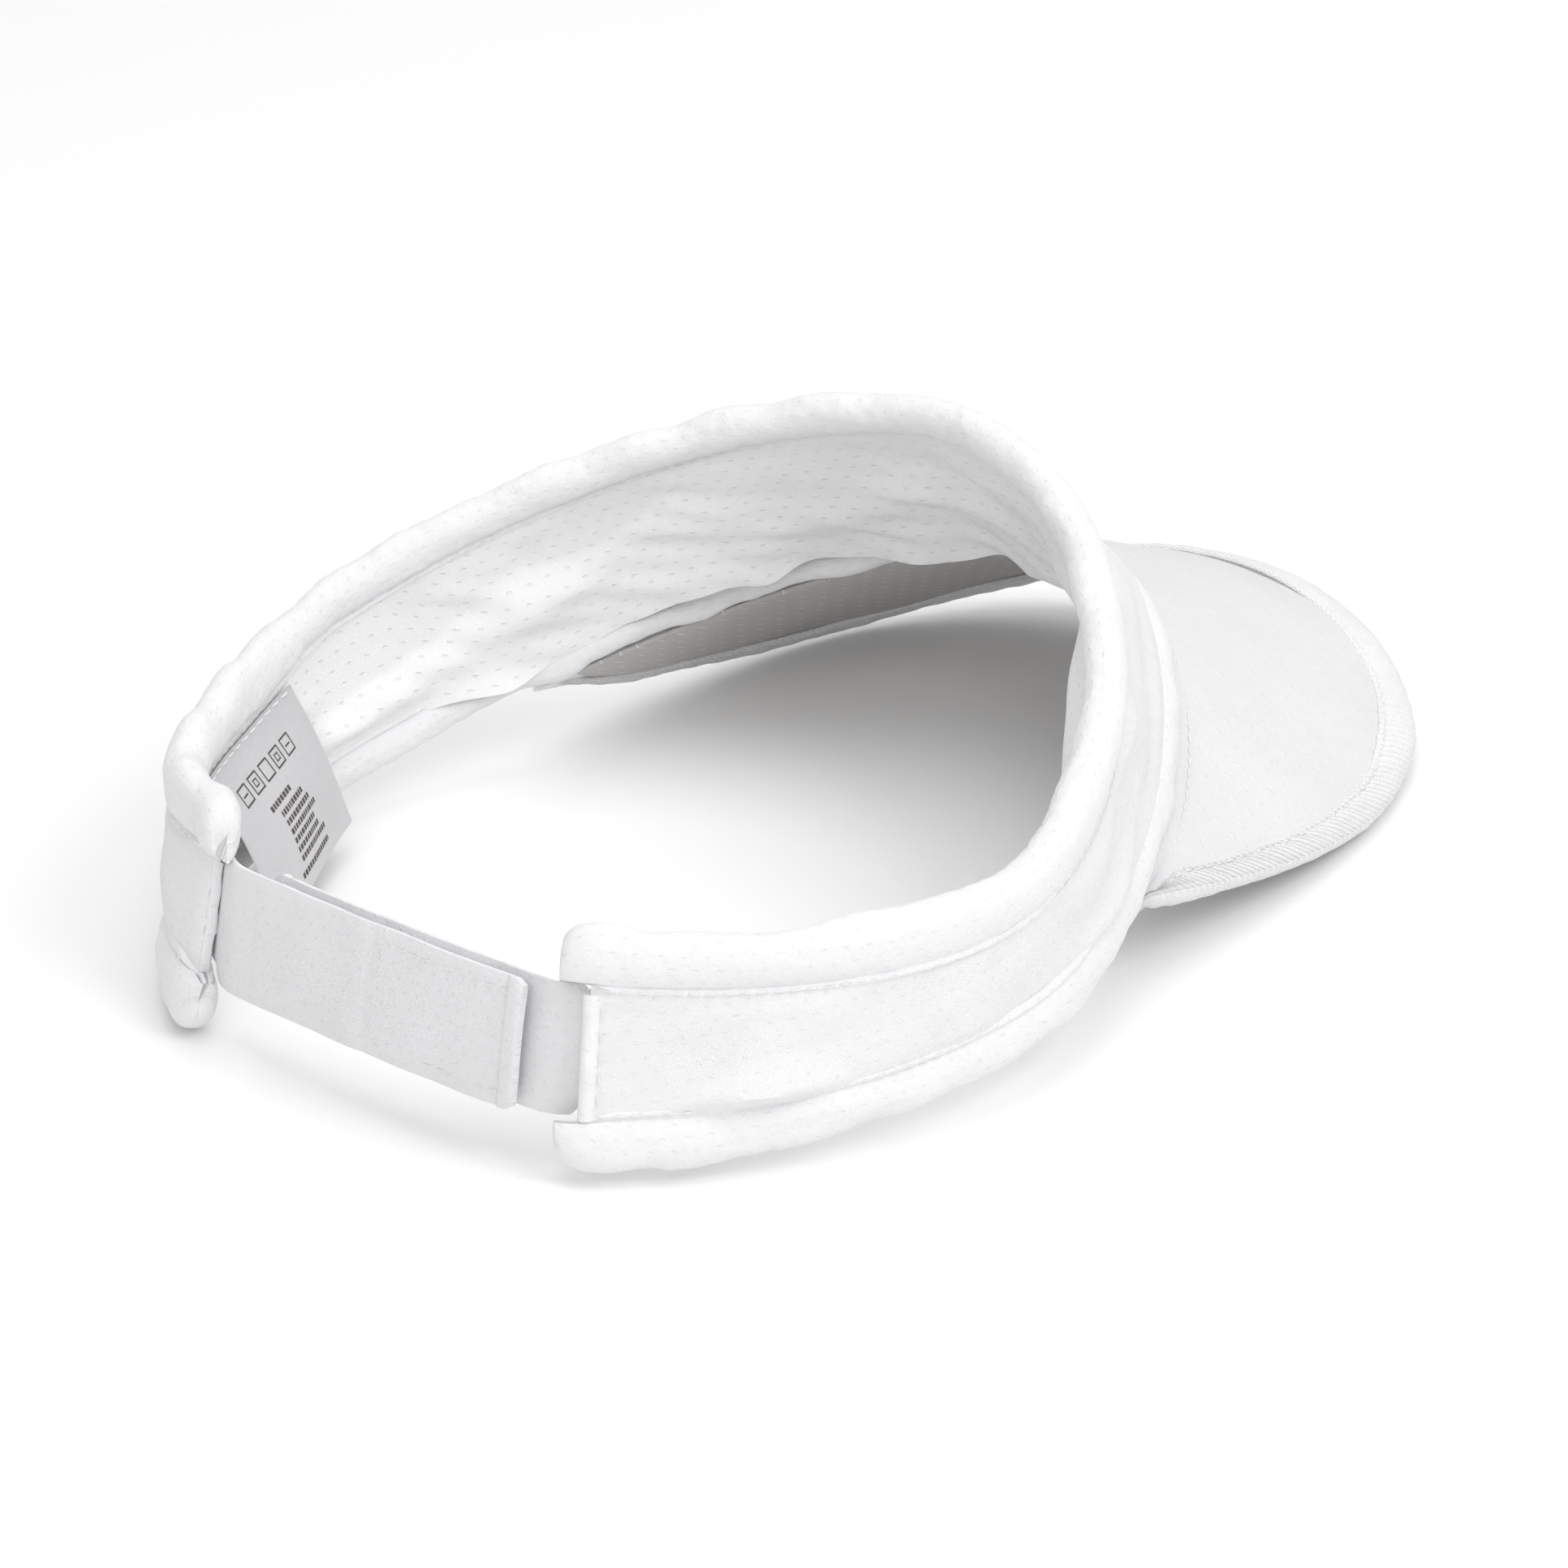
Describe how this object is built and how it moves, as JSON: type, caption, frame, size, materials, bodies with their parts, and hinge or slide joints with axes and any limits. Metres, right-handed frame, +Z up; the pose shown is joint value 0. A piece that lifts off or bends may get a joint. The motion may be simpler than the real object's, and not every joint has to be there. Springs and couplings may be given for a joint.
{
  "type": "sun visor",
  "caption": "Open-crown fabric sun visor with padded band edges, an arched stiffened brim and an adjustable hook-and-loop rear strap.",
  "frame": {"origin": "centre of the visor's bounding box, on the surface it lies on", "axes": "+Z up, -Y to the front of the brim, +X to the wearer's left"},
  "size_m": [0.1692, 0.2507, 0.0776],
  "materials": {
    "panel_jersey": "smooth white knit jersey with small pores",
    "lining_mesh": "white knit mesh with staggered pinholes",
    "binding_jersey": "soft brushed white jersey",
    "foam": "soft white foam padding",
    "brim_mesh": "white mesh with rows of light dashes",
    "brim_under_mesh": "white mesh with rows of light dashes",
    "border_mesh": "white mesh binding with a fine zigzag weave",
    "board": "moulded stiffener sheet",
    "strap_cloth": "brushed white jersey over stiff backing",
    "hook_tape": "woven tape with nylon hooks",
    "loop_tape": "fuzzy loop tape",
    "thread": "twisted sewing thread",
    "label_satin": "printed satin ribbon"
  },
  "bodies": {
    "visor": {"crown_outer_panel": "panel_jersey", "crown_interlining": "foam", "crown_lining": "lining_mesh", "top_binding": "binding_jersey", "top_binding_padding": "foam", "top_binding_stitching": "thread", "bottom_binding": "binding_jersey", "bottom_binding_padding": "foam", "bottom_binding_stitching": "thread", "left_end_hem": "binding_jersey", "right_end_hem": "binding_jersey", "left_end_stitching": "thread", "right_end_stitching": "thread", "brim_board": "board", "brim_top_cover": "brim_mesh", "brim_under_cover": "brim_under_mesh", "brim_edge_binding": "border_mesh", "brim_edge_stitching": "thread", "brim_seam_stitching": "thread", "outer_strap_sewn_end": "strap_cloth", "inner_strap_sewn_end": "strap_cloth", "care_label_stitching": "thread"},
    "outer_strap": {"outer_strap": "strap_cloth", "hook_patch": "hook_tape", "outer_strap_stitching": "thread"},
    "inner_strap": {"inner_strap": "strap_cloth", "loop_patch": "loop_tape", "inner_strap_stitching": "thread"},
    "care_label": {"care_label": "label_satin"}
  },
  "joints": [
    {"name": "outer_strap_peel", "type": "hinge", "parent": "visor", "child": "outer_strap", "pos_m": [0.03504, 0.11849, 0.02033], "axis": [0, 0.1828, -0.9832], "range_deg": [0, 90]},
    {"name": "inner_strap_swing", "type": "hinge", "parent": "visor", "child": "inner_strap", "pos_m": [-0.03504, 0.11849, 0.02033], "axis": [0, 0.1828, -0.9832], "range_deg": [0, 65]},
    {"name": "care_label_flip", "type": "hinge", "parent": "visor", "child": "care_label", "pos_m": [0.06984, 0.07482, 0.02953], "axis": [-0.4013, 0.9112, -0.0929], "range_deg": [-8, 100], "stiffness_Nm_per_rad": 0.0004}
  ]
}
